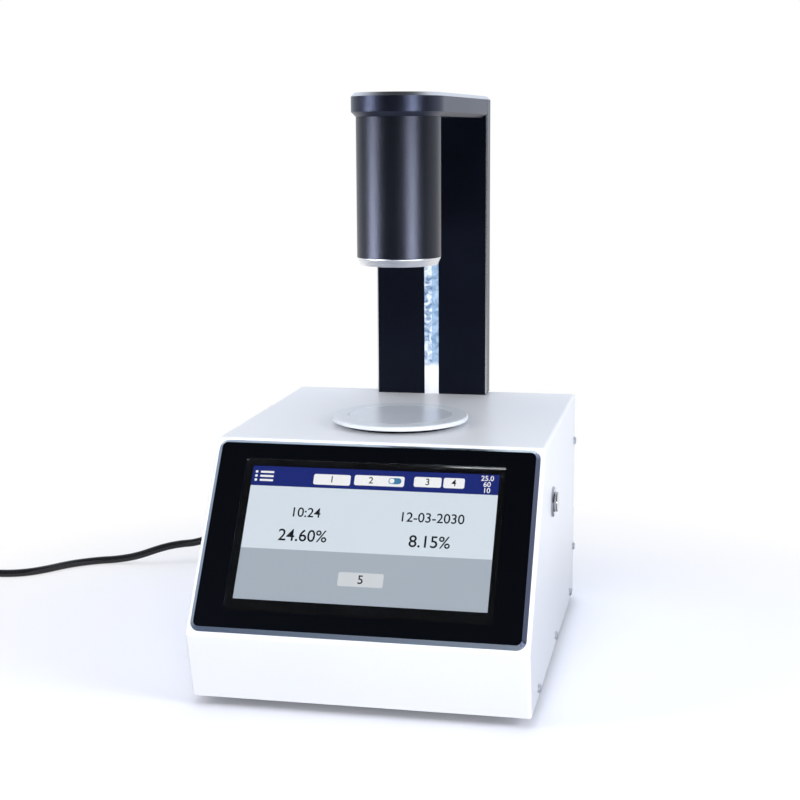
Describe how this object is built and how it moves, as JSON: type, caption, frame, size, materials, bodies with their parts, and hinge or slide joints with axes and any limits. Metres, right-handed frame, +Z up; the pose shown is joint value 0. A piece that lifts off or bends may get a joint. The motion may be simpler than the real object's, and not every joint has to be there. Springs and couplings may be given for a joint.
{
  "type": "benchtop haze and transmittance meter",
  "caption": "Benchtop colorimeter for haze and transmittance: white housing with sloped touch screen, glass sample stage, black column, arm and light barrel, side button, mains lead.",
  "frame": {"origin": "middle of the instrument's footprint on the bench, at the underside of the rubber feet", "axes": "+Z up, +X towards the side with the power button, +Y towards the column and the rear panel"},
  "size_m": [0.5468, 0.3714, 0.3672],
  "materials": {
    "painted_white": "satin",
    "galvanised_steel": "satin",
    "screw_steel": "satin",
    "chrome_bright": "polished",
    "black_anodised": "satin",
    "bright_aluminium": "polished",
    "black_rubber": "matte",
    "cord_pvc": "satin",
    "black_plastic": "satin",
    "white_plastic": "matte",
    "circuit_board": "satin",
    "clear_glass": "polished",
    "display_glass": "polished",
    "lcd_face": "gloss",
    "frosted_acrylic": "gloss"
  },
  "bodies": {
    "instrument": {"cover_shell": "painted_white", "base_tray": "galvanised_steel", "rear_panel": "galvanised_steel", "side_screws": "screw_steel", "foot_front_left": "black_rubber", "foot_front_right": "black_rubber", "foot_rear_left": "black_rubber", "foot_rear_right": "black_rubber", "foot_screws": "screw_steel", "bezel_plate": "bright_aluminium", "screen_glass": "display_glass", "lcd_panel": "lcd_face", "lcd_clamp_plate": "galvanised_steel", "display_board": "circuit_board", "display_screws": "screw_steel", "stage_seat": "black_anodised", "stage_disc": "frosted_acrylic", "port_window": "clear_glass", "sphere_upper": "white_plastic", "sphere_lower": "white_plastic", "sphere_pillars": "screw_steel", "sphere_screws": "screw_steel", "light_trap": "black_anodised", "detector_module": "black_plastic", "column_plate": "black_anodised", "column_trim_strip": "bright_aluminium", "column_bracket": "galvanised_steel", "column_screws": "screw_steel", "head_arm": "black_anodised", "arm_screws": "screw_steel", "light_barrel": "black_anodised", "barrel_ring": "bright_aluminium", "front_lens": "clear_glass", "lens_clamp_ring": "bright_aluminium", "lamp_heat_sink": "bright_aluminium", "lamp_board": "circuit_board", "condenser_cell": "black_anodised", "condenser_lens": "clear_glass", "lamp_cable": "cord_pvc", "power_button_body": "chrome_bright", "power_button_nut": "chrome_bright", "power_button_contacts": "black_plastic", "power_inlet": "black_plastic", "inlet_screws": "screw_steel", "usb_port": "chrome_bright", "usb_board": "circuit_board", "power_supply": "galvanised_steel", "main_board": "circuit_board", "cord_connector": "black_plastic", "cord_lead": "cord_pvc", "cord_coil": "cord_pvc", "cord_tie": "black_plastic", "mains_plug": "black_plastic"},
    "power_button": {"power_button_cap": "chrome_bright"}
  },
  "joints": [
    {"name": "power_button_press", "type": "slide", "parent": "instrument", "child": "power_button", "axis": [-1, 0, 0], "range_m": [0, 0.0018], "stiffness_N_per_m": 1200, "springref_m": -0.001}
  ]
}
